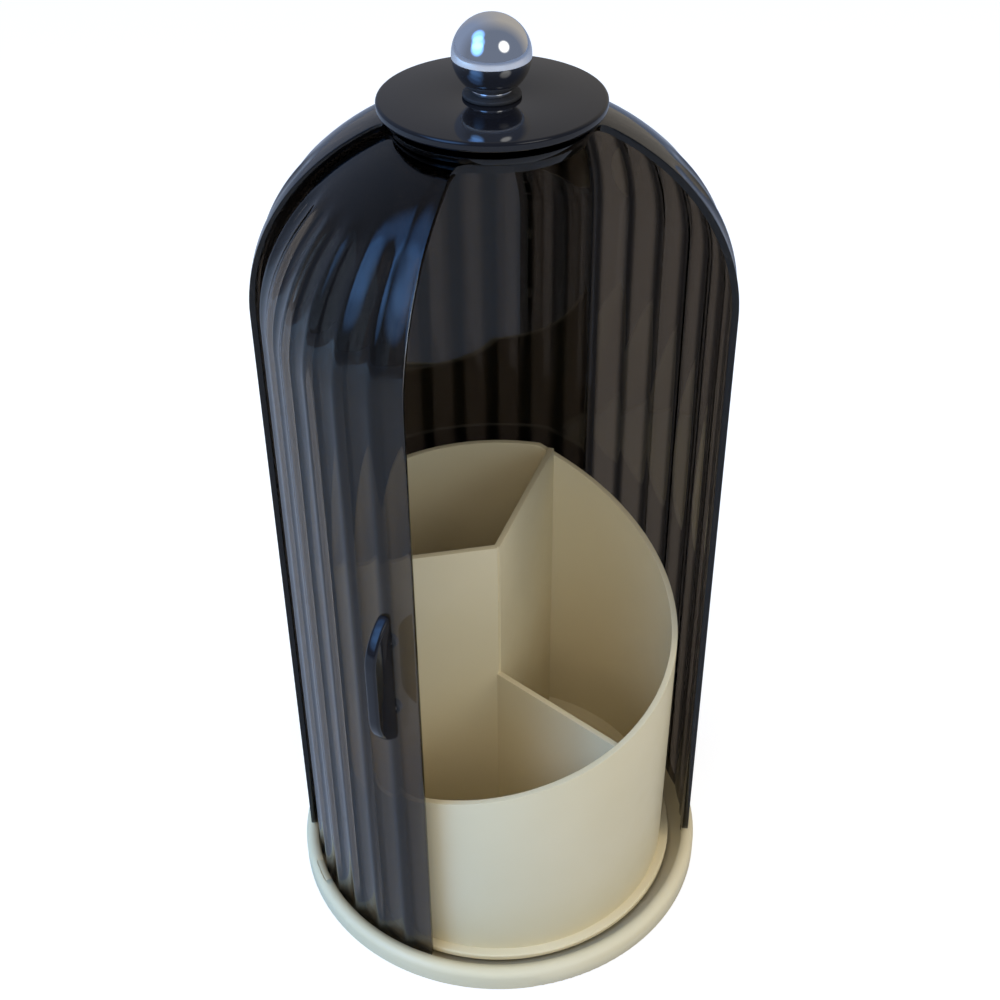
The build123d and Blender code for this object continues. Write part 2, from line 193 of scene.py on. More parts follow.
# Handle
HANDLE_ANGLE = -39.2
HANDLE_HEIGHT = 122.8 * MM
HANDLE_LENGTH = 44.5 * MM
HANDLE_REACH = 8.8 * MM
HANDLE_THICKNESS = 3.4 * MM
HANDLE_NOSE = 9.0 * MM
HANDLE_ROOT = DOOR_RADIUS - 0.4 * MM
HANDLE_ROUND = 1.0 * MM
HANDLE_PARTS = 14

# Noise mostly lies between these two values
NOISE_LOW = 0.3
NOISE_HIGH = 0.7

# Floor, and its own glow where it is seen straight or through a shell, and where it is mirrored
FLOOR_SIZE = 8
FLOOR_LIFT = 0.73
FLOOR_MIRRORED = 0.05

# Surround: one dim colour in front, and behind it a drift from the left's colour to the right's
FRONT_LIGHT = (0.12, 0.15, 0.22)
LEFT_LIGHT = (0.2, 0.26, 0.4)
RIGHT_LIGHT = (0.4, 0.37, 0.33)
BEHIND_START = -0.1
BEHIND_FULL = 0.55

# Patches of light in the surround: angle, rise, half width in degrees, and colour
PATCHES = (
    (-58.0, 28.0, 22.0, (0.4, 1.0, 2.3)),
    (-64.0, 42.0, 22.0, (0.35, 0.9, 2.1)),
    (-84.0, 55.0, 20.0, (0.3, 0.8, 2.0)),
    (33.0, 34.0, 18.0, (1.9, 1.85, 1.7)),
)
PATCH_CORE = 0.45

# Soft lamps: name, angle, distance, height, width, upright size, watts and colour
LAMPS = (
    ("window_above", -30, 0.95, 1.1, 1.2, 0.9, 8.4, (0.96, 0.88, 0.76)),
    ("cool_front", 12, 1.15, 0.45, 0.8, 0.6, 1.6, (0.62, 0.8, 1.0)),
    ("warm_right", 70, 1.06, 0.87, 0.8, 0.8, 5.5, (1.0, 0.92, 0.8)),
    ("cool_left", -95, 1.1, 0.5, 1.2, 0.9, 10.0, (0.35, 0.62, 1.0)),
)
LAMP_AIM = Vector((0, 0, 0.12))

# Camera, as fitted to the photo
CAMERA_PLACE = Vector((0, -352.05, 406.23)) * MM
CAMERA_DOWN = 36.92
CAMERA_YAW = 0.17
CAMERA_ROLL = -0.52
CAMERA_LENS = 54.68
CAMERA_SENSOR = 36
CAMERA_NEAR = 0.01
OBJECT_TURN = -10.5


# Modelling helpers

def polar(angle, radius, height):
    """Point at an angle from the front, a distance from the axis and a height."""
    turn = math.radians(angle)
    return Vector((math.sin(turn) * radius, -math.cos(turn) * radius, height))


def angle_of(place):
    """Angle of a place round the axis, counted from the front."""
    return math.degrees(math.atan2(place.x, -place.y))


def radius_of(place):
    """Distance of a place from the axis."""
    return math.hypot(place.x, place.y)


def between(angle, start, end):
    """True if an angle lies in the turn from start on to end."""
    return (angle - start) % 360 <= (end - start) % 360


def deselect():
    """Leave object mode with nothing selected."""
    if bpy.context.object and bpy.context.object.mode != "OBJECT":
        bpy.ops.object.mode_set(mode="OBJECT")
    bpy.ops.object.select_all(action="DESELECT")


def choose(piece):
    """Select one piece alone and make it active."""
    deselect()
    piece.select_set(True)
    bpy.context.view_layer.objects.active = piece


def open_mesh(piece):
    """Open a piece for editing, all selected."""
    choose(piece)
    bpy.ops.object.mode_set(mode="EDIT")
    bpy.ops.mesh.select_all(action="SELECT")


def close_mesh():
    """Turn the selected faces outwards and leave edit mode."""
    bpy.ops.mesh.normals_make_consistent(inside=False)
    bpy.ops.object.mode_set(mode="OBJECT")


def begin(name):
    """Name the primitive that was just added and open it for editing, all selected."""
    bpy.ops.object.transform_apply(location=True, rotation=True, scale=True)
    piece = bpy.context.object
    piece.name = name
    piece.data.name = name
    bpy.ops.object.mode_set(mode="EDIT")
    bpy.ops.mesh.select_all(action="SELECT")
    return piece


def select_verts(piece, numbers):
    """In edit mode, select vertices by number."""
    mesh = bmesh.from_edit_mesh(piece.data)
    bpy.ops.mesh.select_all(action="DESELECT")
    mesh.verts.ensure_lookup_table()
    for number in numbers:
        mesh.verts[number].select = True
    mesh.select_flush(True)
    bmesh.update_edit_mesh(piece.data)


def select_faces(piece, wanted):
    """In edit mode, select the faces whose centre and normal pass a test."""
    bpy.ops.mesh.select_mode(type="FACE")
    bpy.ops.mesh.select_all(action="DESELECT")
    mesh = bmesh.from_edit_mesh(piece.data)
    for face in mesh.faces:
        face.select = wanted(face.calc_center_median(), face.normal)
    mesh.select_flush(True)
    bmesh.update_edit_mesh(piece.data)


def select_edges(piece, wanted):
    """In edit mode, select the edges whose two ends pass a test."""
    bpy.ops.mesh.select_mode(type="EDGE")
    bpy.ops.mesh.select_all(action="DESELECT")
    mesh = bmesh.from_edit_mesh(piece.data)
    for edge in mesh.edges:
        edge.select = wanted(edge.verts[0].co, edge.verts[1].co)
    mesh.select_flush(False)
    bmesh.update_edit_mesh(piece.data)


def turn_selected(degrees):
    """In edit mode, turn what is selected round the upright axis; the operator's sign runs the other way."""
    bpy.ops.transform.rotate(value=-math.radians(degrees), orient_axis="Z", center_override=(0, 0, 0))


def lift_verts(piece, numbers, rise, grow, height):
    """Lift some vertices and draw them in or out from the axis."""
    select_verts(piece, numbers)
    bpy.ops.transform.translate(value=(0, 0, rise))
    bpy.ops.transform.resize(value=(grow, grow, 1), center_override=(0, 0, height))


def rings_up(rings):
    """Extrude the selected ring through (radius, height) stations."""
    radius, height = rings[0]
    for next_radius, next_height in rings[1:]:
        bpy.ops.mesh.extrude_region_move(TRANSFORM_OT_translate={"value": (0, 0, next_height - height)})
        grow = next_radius / radius
        bpy.ops.transform.resize(value=(grow, grow, 1), center_override=(0, 0, next_height))
        radius, height = next_radius, next_height


def lathe(name, rings, steps, turn=0.0, closed=False, fill=False):
    """Turned piece drawn up from a circle; closed joins its last ring to its first, fill caps it."""
    deselect()
    bpy.ops.mesh.primitive_circle_add(
        vertices=steps, radius=rings[0][0], fill_type="NGON" if fill else "NOTHING",
        location=(0, 0, rings[0][1]), rotation=(0, 0, math.radians(turn)))
    piece = begin(name)
    if fill:
        bpy.ops.mesh.delete(type="ONLY_FACE")
        bpy.ops.mesh.select_all(action="SELECT")
    rings_up(list(rings) + ([rings[0]] if closed else []))
    if fill:
        bpy.ops.mesh.edge_face_add()
        radius, low = rings[0][0], rings[0][1] + NEAR
        select_edges(piece, lambda a, b: max(a.z, b.z) < low and abs(radius_of(a) - radius) < NEAR)
        bpy.ops.mesh.edge_face_add()
    bpy.ops.mesh.select_all(action="SELECT")
    bpy.ops.mesh.remove_doubles(threshold=MERGE)
    close_mesh()
    return piece


def apply_modifiers(piece):
    """Turn a piece's live modifiers into mesh."""
    choose(piece)
    for modifier in list(piece.modifiers):
        bpy.ops.object.modifier_apply(modifier=modifier.name)


def round_edges(piece, width, segments, angle=40):
    """Round every edge that is sharper than an angle."""
    bevel = piece.modifiers.new("rounding", "BEVEL")
    bevel.width = width
    bevel.segments = segments
    bevel.limit_method = "ANGLE"
    bevel.angle_limit = math.radians(angle)
    bevel.use_clamp_overlap = True
    apply_modifiers(piece)


def smooth(piece, angle=35):
    """Smooth shading that keeps crisp corners."""
    choose(piece)
    bpy.ops.object.shade_smooth_by_angle(angle=math.radians(angle))


def thicken(piece, thickness, offset, group=None):
    """Give a skin its wall."""
    wall = piece.modifiers.new("wall", "SOLIDIFY")
    wall.thickness = thickness
    wall.offset = offset
    wall.use_even_offset = True
    if group:
        wall.vertex_group = group
    apply_modifiers(piece)


def dress(piece, body, slot, material, *nodes):
    """Let a finished piece stand for CAD nodes, ride on its body and take its material."""
    piece.data.materials.clear()
    piece.data.materials.append(material)
    if nodes:
        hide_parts(*nodes)
    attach(piece, body)


# Materials

def new_material(name, colour, roughness):
    """Material with its shader, its tree and a coordinate node."""
    material = bpy.data.materials.new(name)
    material.use_nodes = True
    tree = material.node_tree
    shader = tree.nodes["Principled BSDF"]
    shader.inputs["Base Color"].default_value = (*colour, 1)
    shader.inputs["Roughness"].default_value = roughness
    place = tree.nodes.new("ShaderNodeTexCoord")
    return material, tree, shader, place


def noise(tree, place, scale, detail, stretch=(1, 1, 1)):
    """Noise on object coordinates, stretched along an axis if wanted."""
    mapping = tree.nodes.new("ShaderNodeMapping")
    mapping.inputs["Scale"].default_value = stretch
    tree.links.new(place.outputs["Object"], mapping.inputs["Vector"])
    texture = tree.nodes.new("ShaderNodeTexNoise")
    texture.inputs["Scale"].default_value = scale
    texture.inputs["Detail"].default_value = detail
    tree.links.new(mapping.outputs["Vector"], texture.inputs["Vector"])
    return texture.outputs["Fac"]


def spread(tree, source, low, high, start=NOISE_LOW, end=NOISE_HIGH):
    """Map a noise, or another value, onto a range of numbers."""
    ramp = tree.nodes.new("ShaderNodeMapRange")
    ramp.inputs["From Min"].default_value = start
    ramp.inputs["From Max"].default_value = end
    ramp.inputs["To Min"].default_value = low
    ramp.inputs["To Max"].default_value = high
    tree.links.new(source, ramp.inputs["Value"])
    return ramp.outputs["Result"]


def two_tones(tree, source, first, second):
    """Colour that drifts between two tones."""
    ramp = tree.nodes.new("ShaderNodeValToRGB")
    ramp.color_ramp.elements[0].position = NOISE_LOW
    ramp.color_ramp.elements[0].color = (*first, 1)
    ramp.color_ramp.elements[1].position = NOISE_HIGH
    ramp.color_ramp.elements[1].color = (*second, 1)
    tree.links.new(source, ramp.inputs["Fac"])
    return ramp.outputs["Color"]


def bump(tree, shader, source, distance, strength):
    """Small relief from a noise."""
    relief = tree.nodes.new("ShaderNodeBump")
    relief.inputs["Distance"].default_value = distance
    relief.inputs["Strength"].default_value = strength
    tree.links.new(source, relief.inputs["Height"])
    tree.links.new(relief.outputs["Normal"], shader.inputs["Normal"])


def cream_plastic(name):
    """Cream moulded plastic with a satin skin."""
    material, tree, shader, place = new_material(name, (0.73, 0.635, 0.41), 0.38)
    drift = noise(tree, place, 28, 2)
    tree.links.new(two_tones(tree, drift, (0.715, 0.62, 0.395), (0.745, 0.65, 0.425)),
                   shader.inputs["Base Color"])
    tree.links.new(spread(tree, noise(tree, place, 160, 4), 0.33, 0.46), shader.inputs["Roughness"])
    bump(tree, shader, noise(tree, place, 1800, 2), 0.012 * MM, 0.5)
    shader.inputs["IOR"].default_value = 1.49
    return material


def smoked_plastic(name, tints):
    """Clear smoke-tinted plastic, polished, deeper in tint where the wall is thicker, and lighter along the
    rear shell's pillars as painted light.
    """
    material, tree, shader, place = new_material(name, (0.032, 0.028, 0.024), 0.02)
    # Its attribute lightens thin walls and, on the rear shell, paints light along the pillars
    wall = tree.nodes.new("ShaderNodeAttribute")
    wall.attribute_name = "wall_share_and_painted_light"
    thickness = spread(tree, wall.outputs["Fac"], 0, 1, THIN_AND_PAINTED_LIGHT_SHARE, 1.0)
    tree.links.new(two_tones(tree, thickness, *tints), shader.inputs["Base Color"])
    shader.inputs["Transmission Weight"].default_value = 1.0
    shader.inputs["IOR"].default_value = 1.43
    tree.links.new(spread(tree, noise(tree, place, 60, 4), 0.008, 0.035), shader.inputs["Roughness"])
    bump(tree, shader, noise(tree, place, 9, 0, (1, 1, 0.15)), 0.05 * MM, 0.12)
    return material


def black_gloss(name):
    """Black moulded plastic, polished, with faint wipe marks."""
    material, tree, shader, place = new_material(name, (0.007, 0.007, 0.009), 0.06)
    tree.links.new(spread(tree, noise(tree, place, 90, 5), 0.04, 0.12), shader.inputs["Roughness"])
    bump(tree, shader, noise(tree, place, 40, 1), 0.02 * MM, 0.3)
    shader.inputs["IOR"].default_value = 1.45
    return material


def chrome(name):
    """Mirror chrome over plastic, with fine wipe marks."""
    material, tree, shader, place = new_material(name, (0.86, 0.87, 0.89), 0.04)
    shader.inputs["Metallic"].default_value = 1.0
    tree.links.new(spread(tree, noise(tree, place, 240, 5), 0.02, 0.075), shader.inputs["Roughness"])
    return material


def rubber(name, colour):
    """Matt rubber with a fine grain."""
    material, tree, shader, place = new_material(name, colour, 0.7)
    tree.links.new(spread(tree, noise(tree, place, 700, 4), 0.6, 0.85), shader.inputs["Roughness"])
    bump(tree, shader, noise(tree, place, 2500, 3), 0.03 * MM, 0.6)
    return material


def steel(name):
    """Plain steel with fine drawn lines."""
    material, tree, shader, place = new_material(name, (0.6, 0.6, 0.61), 0.3)
    shader.inputs["Metallic"].default_value = 1.0
    tree.links.new(spread(tree, noise(tree, place, 900, 4, (1, 1, 0.1)), 0.22, 0.42),
                   shader.inputs["Roughness"])
    return material


def nylon(name):
    """White slippery nylon."""
    material, tree, shader, place = new_material(name, (0.82, 0.82, 0.79), 0.45)
    drift = noise(tree, place, 120, 3)
    tones = two_tones(tree, drift, (0.8, 0.8, 0.76), (0.84, 0.84, 0.81))
    tree.links.new(tones, shader.inputs["Base Color"])
    tree.links.new(spread(tree, drift, 0.4, 0.55), shader.inputs["Roughness"])
    return material


CREAM = cream_plastic("cream_plastic")
# The rear shell takes a darker copy of the smoked plastic, as painted shade
SMOKED_REAR_SHADED = smoked_plastic("smoked_plastic_rear_shaded", REAR_SHADED_TINTS)
SMOKED_DOOR = smoked_plastic("smoked_plastic_door", DOOR_TINTS)
BLACK = black_gloss("black_gloss")
CHROME = chrome("ball_chrome")
GASKET = rubber("gasket_rubber", (0.02, 0.02, 0.021))
FOOT = rubber("foot_rubber", (0.05, 0.05, 0.05))
STEEL = steel("bearing_steel")
NYLON = nylon("white_nylon")

# Nodes that are shown as they were packed, each with its material
kept_nodes = {
    "turntable": CREAM, "base_feet": FOOT, "bearing_balls": STEEL,
    "bearing_cage": NYLON, "spindle_washer": STEEL, "spindle_screw": STEEL, "handle_screws": STEEL,
    "pivot_bush": NYLON, "thrust_washer": NYLON, "pivot_washer": STEEL, "pivot_screw": STEEL,
}
for node, material in kept_nodes.items():
    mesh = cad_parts[node].data
    mesh.materials.clear()
    mesh.materials.append(material)


# Smoked fluted shells

# A shell's shape, and one ring of its inner skin. The lead is the depth at which the last flute runs on
# up to the crown, and pillars swell the inner skin behind each flute.
Shell = namedtuple("Shell", (
    "name", "radius", "rise", "foot", "start", "end", "flutes", "crown_bottom", "crown_thickness",
    "crown_radius", "corner", "lead", "pillars"))
Row = namedtuple("Row", ("ring", "height", "lean", "outer", "wall"))

REAR = Shell(
    name="fluted_rear_shell", radius=REAR_RADIUS, rise=REAR_RISE, foot=RING_TOP,
    start=REAR_START, end=REAR_END, flutes=REAR_FLUTES,
    crown_bottom=rear_high[2] - REAR_CROWN, crown_thickness=REAR_CROWN,
    crown_radius=REAR_CROWN_RADIUS, corner=REAR_CORNER, lead=0.0, pillars=True)
DOOR = Shell(
    name="fluted_door_shell", radius=DOOR_RADIUS, rise=DOOR_RISE, foot=door_low[2],
    start=DOOR_START, end=DOOR_EDGE, flutes=DOOR_FLUTES,
    crown_bottom=door_high[2] - DOOR_CROWN, crown_thickness=DOOR_CROWN,
    crown_radius=DOOR_CROWN_RADIUS, corner=DOOR_CORNER, lead=LEAD_HOLLOW, pillars=False)


def flute_depth_up(shell, lean):
    """Depth of a flute's middle line where the wall leans over by an ellipse angle."""
    turn_radius = shell.rise - FLUTE_TURN_INSET
    turn_centre = shell.radius - FLUTE_DEPTH - turn_radius
    x = shell.radius * math.cos(lean)
    z = shell.rise * math.sin(lean)
    arc_end = math.radians(FLUTE_TURN_ARC)
    if math.atan2(z, x - turn_centre) <= arc_end:
        return math.hypot(x - turn_centre, z) - turn_radius
    reach_x = x - turn_centre - turn_radius * math.cos(arc_end)
    reach_z = z - turn_radius * math.sin(arc_end)
    return reach_x * math.cos(arc_end) + reach_z * math.sin(arc_end)


def fade(lean, limits):
    """One below the first lean angle, nought above the second, eased in between."""
    share = (limits[1] - math.degrees(lean)) / (limits[1] - limits[0])
    share = max(0.0, min(1.0, share))
    return share * share * (3 - 2 * share)


def turned_on(shell, angle):
    """Degrees from a shell's first edge on to an angle, just below nought a little before the edge."""
    return (angle - shell.start + EDGE_SLACK) % 360 - EDGE_SLACK


def flute_depth_at(shell, lean, angle):
    """Depth of the fluting at a place on the wall; the last flute may run on up to the crown."""
    turn = turned_on(shell, angle)
    if turn > shell.flutes * FLUTE_PITCH:
        return 0.0
    middle = flute_depth_up(shell, lean) if lean < FLUTE_LEAN else 0.0
    if turn > (shell.flutes - 1) * FLUTE_PITCH:
        middle = max(middle, shell.lead * fade(lean, LEAD_LEAN))
    off = turn % FLUTE_PITCH - FLUTE_PITCH / 2
    across = shell.radius * math.cos(lean) * math.sin(math.radians(off))
    return max(0.0, middle - across**2 * (1 / FLUTE_ROD + 1 / shell.radius) / 2)


def pillar_at(shell, lean, angle):
    """How far the inner skin bulges inwards behind a flute."""
    turn = turned_on(shell, angle)
    if turn > shell.flutes * FLUTE_PITCH:
        return 0.0
    off = (turn % FLUTE_PITCH) / (FLUTE_PITCH / 2) - 1
    return PILLAR_DEPTH * fade(lean, PILLAR_LEAN) * (1 - off * off)


def shell_rows(shell):
    """Rings of the inner skin, each with its height, lean, the outer radius over it and its wall."""
    inner = shell.radius - SHELL_WALL
    inner_rise = shell.rise - SHELL_WALL
    crown_rise = shell.crown_bottom - SHOULDER
    top_rise = crown_rise + shell.crown_thickness
    flat_start = inner * math.sqrt(1 - (crown_rise / inner_rise)**2)
    top_start = shell.radius * math.sqrt(1 - (top_rise / shell.rise)**2)
    heights = [shell.foot + step for step in FOOT_STEPS]
    heights += [shell.foot + (SHOULDER - shell.foot) * share for share in WALL_SHARES]
    rows = [Row(inner, height, 0.0, shell.radius, SHELL_WALL) for height in heights]

    outers = [shell.radius * math.cos(math.radians(DOME_STEP * step)) for step in range(1, DOME_STEPS + 1)]
    outers = [outer for outer in outers if outer > shell.crown_radius + shell.corner * CORNER_CLEAR]
    outers += [shell.crown_radius + shell.corner * share for share in CORNER_SHARES]
    if flat_start < shell.crown_radius:
        outers.append(flat_start * shell.radius / inner)
    for outer in outers:
        lean = math.acos(outer / shell.radius)
        ring, height, wall = inner * math.cos(lean), inner_rise * math.sin(lean), SHELL_WALL
        if height >= crown_rise - TOUCH:
            ring, height = min(outer, flat_start), crown_rise
            wall = min(top_rise, shell.rise * math.sqrt(1 - (ring / shell.radius)**2)) - crown_rise
        rows.append(Row(ring, SHOULDER + height, lean, outer, wall))
    for ring in (top_start, CROWN_RING, SHELL_BORE):
        if ring < rows[-1].ring - LEAST_RING_STEP:
            rows.append(Row(ring, shell.crown_bottom, math.pi / 2, ring, shell.crown_thickness))
    return rows


def nearest_row(rows, place):
    """Number of the row that a point of the inner skin lies on."""
    ring, height = radius_of(place), place.z
    return min(range(len(rows)), key=lambda k: abs(rows[k].ring - ring) + abs(rows[k].height - height))


def skin_grid(piece, shell, rows):
    """Number of the point at each row and column of a smooth skin."""
    grid = {}
    for vertex in piece.data.vertices:
        column = round(((angle_of(vertex.co) - shell.start) % 360) / STEP_ANGLE) % COLUMNS
        grid[nearest_row(rows, vertex.co), column] = vertex.index
    return grid


def edge_sweep(shell, rows, row, crown_row):
    """Degrees by which an edge lies outwards: rounded at the foot, swept into the crown's circle."""
    fillet_centre = shell.crown_radius + shell.corner
    sweep = math.degrees(math.asin(shell.corner / fillet_centre))
    over_foot = rows[row].height - shell.foot
    if row >= crown_row:
        return sweep
    if row > crown_row - len(CORNER_SHARES) + 1:
        across = rows[row].outer
        turned = (fillet_centre**2 + across**2 - shell.corner**2) / (2 * fillet_centre * across)
        return sweep - math.degrees(math.acos(min(1.0, turned)))
    if over_foot < FOOT_CORNER - TOUCH:
        drop = FOOT_CORNER - over_foot
        inner = shell.radius - SHELL_WALL
        return -math.degrees((FOOT_CORNER - math.sqrt(FOOT_CORNER**2 - drop**2)) / inner)
    return 0.0


def shape_edges(piece, shell, rows, crown_row, last_column, grid):
    """In edit mode, draw the points beside the two edges round to where the edges run."""
    spare = (shell.end - shell.start) % 360 - last_column * STEP_ANGLE
    shifts = {}
    for row in range(len(rows)):
        outward = edge_sweep(shell, rows, row, crown_row)
        width = 2 * SHIFT_REACH if row >= crown_row else SHIFT_REACH
        first_off = -width if row >= crown_row else 0
        for edge_column, sign, extra in ((0, -1, 0.0), (last_column, 1, spare)):
            for off in range(first_off, width + 1):
                shift = (sign * outward + extra) * (1 - abs(off) / width)
                column = (edge_column - sign * off) % COLUMNS
                if abs(shift) > LEAST_SHIFT:
                    shifts.setdefault(round(shift, 4), []).append(grid[row, column])
    for shift, numbers in shifts.items():
        select_verts(piece, numbers)
        turn_selected(shift)


def open_front(piece, crown_row, last_column, grid):
    """In edit mode, drop the faces between the two edges, below the crown."""
    rows = {number: row for (row, _), number in grid.items()}
    columns = {number: column for (_, column), number in grid.items()}
    bpy.ops.mesh.select_mode(type="FACE")
    bpy.ops.mesh.select_all(action="DESELECT")
    mesh = bmesh.from_edit_mesh(piece.data)
    for face in mesh.faces:
        face_rows = [rows[vertex.index] for vertex in face.verts]
        face_columns = [columns[vertex.index] for vertex in face.verts]
        if max(face_rows) - min(face_rows) == 1 and max(face_rows) <= crown_row:
            wraps = max(face_columns) - min(face_columns) > 1
            face.select = wraps or max(face_columns) > last_column
    bmesh.update_edit_mesh(piece.data)
    bpy.ops.mesh.delete(type="FACE")
    bpy.ops.mesh.select_mode(type="VERT")


def add_wall(piece, shell, rows):
    """Wall with the fluting taken out of its outer side, and swollen inwards behind the flutes."""
    group = piece.vertex_groups.new(name="wall")
    skin_count = len(piece.data.vertices)
    wall_and_light_shares = [1.0] * skin_count
    swells = {}
    for vertex in piece.data.vertices:
        row = rows[nearest_row(rows, vertex.co)]
        depth = flute_depth_at(shell, row.lean, angle_of(vertex.co))
        group.add([vertex.index], (row.wall - depth) / shell.crown_thickness, "REPLACE")
        # A thinner wall lightens the tint. With pillars the lightening follows them: partly real thinning,
        # partly painted light where the pillars thicken the wall
        thinning_and_painted_light = depth / FLUTE_DEPTH
        if shell.pillars:
            bulge = pillar_at(shell, row.lean, angle_of(vertex.co))
            thinning_and_painted_light = bulge / PILLAR_DEPTH
            swells.setdefault(round(bulge / shell.radius, 5), []).append(vertex.index + skin_count)
        wall_and_light_shares[vertex.index] = 1 - THIN_AND_PAINTED_LIGHT_SHARE * thinning_and_painted_light
    piece.data.attributes.new("wall_share_and_painted_light", "FLOAT", "POINT").data.foreach_set("value", wall_and_light_shares)
    thicken(piece, shell.crown_thickness, 1, "wall")
    piece.vertex_groups.clear()

    # The inner side's points are numbered on from the outer ones
    bpy.ops.object.mode_set(mode="EDIT")
    for swell, numbers in swells.items():
        if swell > 0:
            select_verts(piece, numbers)
            bpy.ops.transform.resize(value=(1 - swell, 1 - swell, 1), center_override=(0, 0, SHOULDER))
    bpy.ops.object.mode_set(mode="OBJECT")


def make_shell(shell):
    """Smooth inner skin, its edges drawn to shape and opened at the front, then walled and fluted."""
    rows = shell_rows(shell)
    crown_row = next(k for k, row in enumerate(rows) if abs(row.outer - shell.crown_radius) < TOUCH)
    last_column = round((shell.end - shell.start) % 360 / STEP_ANGLE)
    rings = [(row.ring, row.height) for row in rows]
    piece = lathe(shell.name, rings, COLUMNS, shell.start % STEP_ANGLE)
    grid = skin_grid(piece, shell, rows)
    bpy.ops.object.mode_set(mode="EDIT")
    shape_edges(piece, shell, rows, crown_row, last_column, grid)
    open_front(piece, crown_row, last_column, grid)
    bpy.ops.object.mode_set(mode="OBJECT")
    add_wall(piece, shell, rows)
    return piece


def finish_shell(piece):
    """Outward faces, softened rims and smooth shading."""
    open_mesh(piece)
    close_mesh()
    round_edges(piece, RIM_ROUND, 2, 55)
    smooth(piece, 50)


def add_lugs(piece):
    """Tongues under the rear shell's foot that drop into the base ring."""
    def on_lug(centre, normal):
        low = abs(centre.z - RING_TOP) < LUG_SLACK and normal.z < LOOKS_DOWN
        return low and any(between(angle_of(centre), lug - LUG_HALF, lug + LUG_HALF) for lug in LUG_ANGLES)

    choose(piece)
    bpy.ops.object.mode_set(mode="EDIT")
    select_faces(piece, on_lug)
    bpy.ops.mesh.extrude_region_move(TRANSFORM_OT_translate={"value": (0, 0, -LUG_LENGTH)})
    bpy.ops.mesh.select_mode(type="VERT")
    bpy.ops.object.mode_set(mode="OBJECT")


rear_shell = make_shell(REAR)
add_lugs(rear_shell)
finish_shell(rear_shell)
dress(rear_shell, "base", "smoked_plastic", SMOKED_REAR_SHADED, "rear_shell")

door_shell = make_shell(DOOR)
finish_shell(door_shell)
dress(door_shell, "door", "smoked_plastic", SMOKED_DOOR, "door_shell")


# Base ring

def unite(piece, others):
    """Fuse other solids into a piece."""
    for other in others:
        joining = piece.modifiers.new("joining", "BOOLEAN")
        joining.operation = "UNION"
        joining.solver = "EXACT"
        joining.object = other
        apply_modifiers(piece)
        bpy.data.objects.remove(other)


def ring_top_at(radius):
    """Height of the base ring's rounded top, a hair lower so that the fill cuts it cleanly."""
    inset = max(0.0, radius - (BASE_RADIUS - RING_ROUND))
    return RING_TOP - FILL_DROP - (RING_ROUND - math.sqrt(RING_ROUND**2 - inset**2))


def ring_fill():
    """Piece of ring that fills the spare notch."""
    low = RING_TOP - LUG_LENGTH - FILL_UNDER
    inner = DOOR_RADIUS + RING_GAP + FILL_DROP
    notch_outer = REAR_RADIUS + NOTCH_GAP
    outer = notch_outer + FILL_BITE
    top_radii = (outer, notch_outer, BASE_RADIUS - RING_ROUND, inner)
    stations = [(inner, low), (outer, low)] + [(radius, ring_top_at(radius)) for radius in top_radii]
    piece = lathe("ring_fill", stations, FILL_STEPS, closed=True)
    bpy.ops.object.mode_set(mode="EDIT")
    first, last = SPARE_NOTCH - FILL_HALF, SPARE_NOTCH + FILL_HALF
    select_faces(piece, lambda place, normal: not between(angle_of(place), first, last))
    bpy.ops.mesh.delete(type="FACE")
    bpy.ops.mesh.select_mode(type="VERT")
    bpy.ops.mesh.select_all(action="SELECT")
    bpy.ops.mesh.fill_holes(sides=0)
    close_mesh()
    return piece


def whole_ring():
    """Base ring with the notch closed that lies in front of the fixed shell's left edge."""
    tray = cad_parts["base_tray"]
    mesh = tray.data.copy()
    mesh.transform(tray.matrix_world)
    piece = bpy.data.objects.new("base_ring", mesh)
    bpy.context.collection.objects.link(piece)
    open_mesh(piece)
    bpy.ops.mesh.remove_doubles(threshold=0.001 * MM)
    close_mesh()
    unite(piece, [ring_fill()])
    smooth(piece, 35)
    return piece


base_ring = whole_ring()
dress(base_ring, "base", "cream_plastic", CREAM, "base_tray")


# Cup

def rim_turn(angle):
    """The same angle, counted on from the rim's step."""
    return (angle - RIM_START) % 360 + RIM_START


def rim_height(angle):
    """Height of the cup's rim, climbing like a spiral from its step until it is level."""
    angle = rim_turn(angle)
    angles, heights = zip(*RIM_STATIONS)
    if angle >= angles[-1]:
        return CUP_TOP
    slopes = []
    for k in range(len(angles)):
        low, high = max(0, k - 1), min(len(angles) - 1, k + 1)
        slopes.append((heights[high] - heights[low]) / (angles[high] - angles[low]))
    k = max(0, min(len(angles) - 2, sum(1 for a in angles if a <= angle) - 1))
    width = angles[k + 1] - angles[k]
    t = (angle - angles[k]) / width
    value = ((2 * t**3 - 3 * t**2 + 1) * heights[k] + (t**3 - 2 * t**2 + t) * width * slopes[k]
             + (-2 * t**3 + 3 * t**2) * heights[k + 1] + (t**3 - t**2) * width * slopes[k + 1])
    return min(CUP_TOP, value * MM)


def cup_radius_at(height):
    """Outer radius of the flared cup wall."""
    return CUP_FOOT_RADIUS + CUP_FLARE * (height - CUP_FOOT) / (CUP_TOP - CUP_FOOT)


